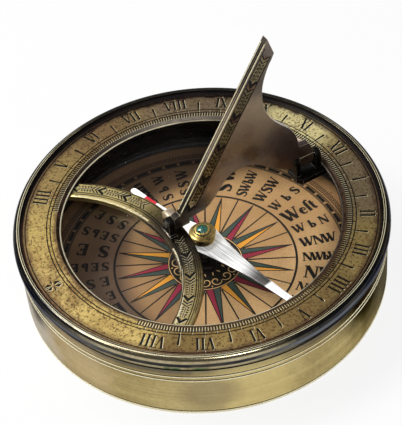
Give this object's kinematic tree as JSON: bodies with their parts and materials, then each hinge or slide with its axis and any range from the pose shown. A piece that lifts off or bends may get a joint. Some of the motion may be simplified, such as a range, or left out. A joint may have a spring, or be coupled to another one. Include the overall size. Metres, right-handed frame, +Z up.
{
  "type": "sundial compass",
  "caption": "Round brass pocket sundial with a compass card and needle under glass, a turning dial ring on an arched bridge and a folding upright gnomon.",
  "frame": {"origin": "centre of the flat base of the case", "axes": "+Z up, out of the glass; +Y from the centre towards the noon mark XII, along the hinge line of the gnomon; +X to the right when facing XII, towards the afternoon hours"},
  "size_m": [0.108, 0.108, 0.0766],
  "materials": {
    "case_brass": "brushed, aged",
    "plain_brass": "plain",
    "printed_card": "printed paper",
    "black_liner": "satin black",
    "dark_brass": "blackened",
    "steel": "bright",
    "clear_glass": "clear",
    "rim_brass": "polished, aged",
    "dial_brass": "antique, engraved",
    "gnomon_brass": "antique, engraved",
    "needle_steel": "bright, with white and red paint",
    "cap_brass": "polished",
    "green_stone": "polished stone"
  },
  "bodies": {
    "case": {"case_shell": "case_brass", "card_plate": "plain_brass", "compass_card": "printed_card", "bowl_liner": "black_liner", "card_boss": "dark_brass", "pivot_post": "steel", "glass": "clear_glass", "glass_keeper": "dark_brass"},
    "dial": {"rim_bezel": "rim_brass", "snap_ring": "steel", "hour_ring": "dial_brass", "arch_bridge": "dial_brass", "toe_lug": "dark_brass", "toe_pin": "steel", "stop_tab": "dial_brass", "xii_bracket": "dark_brass", "xii_pin": "steel", "ring_screws": "plain_brass"},
    "gnomon": {"gnomon_plate": "gnomon_brass"},
    "needle": {"needle_blade": "needle_steel", "needle_cap": "cap_brass", "cap_stone": "green_stone"}
  },
  "joints": [
    {"name": "dial_turn", "type": "hinge", "parent": "case", "child": "dial", "pos_m": [0, 0, 0.0193], "axis": [0, 0, 1], "continuous": true},
    {"name": "gnomon_fold", "type": "hinge", "parent": "dial", "child": "gnomon", "pos_m": [0, 0, 0.0257], "axis": [0, -1, 0], "range_deg": [0, 90]},
    {"name": "needle_spin", "type": "hinge", "parent": "case", "child": "needle", "pos_m": [0, 0, 0.0155], "axis": [0, 0, 1], "continuous": true}
  ]
}
